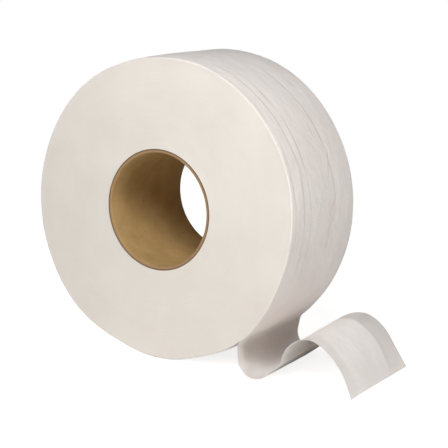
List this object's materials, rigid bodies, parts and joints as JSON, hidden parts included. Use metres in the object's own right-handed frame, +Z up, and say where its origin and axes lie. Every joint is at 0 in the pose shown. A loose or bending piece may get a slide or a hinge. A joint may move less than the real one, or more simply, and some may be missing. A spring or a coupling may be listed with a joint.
{
  "type": "toilet paper roll",
  "caption": "Large dispenser roll of soft white toilet tissue wound on a kraft paperboard core, standing on its rim with the loose end folded back and arched over.",
  "frame": {"origin": "centre of the core's bore, halfway along it", "axes": "+Y along the bore axis, away from the near end face; +Z up; +X towards the loose end"},
  "size_m": [0.2771, 0.09, 0.2283],
  "materials": {
    "tissue": "matte",
    "kraft_board": "matte"
  },
  "bodies": {
    "root": {"tissue_web": "tissue", "core_tube": "kraft_board"}
  },
  "joints": []
}
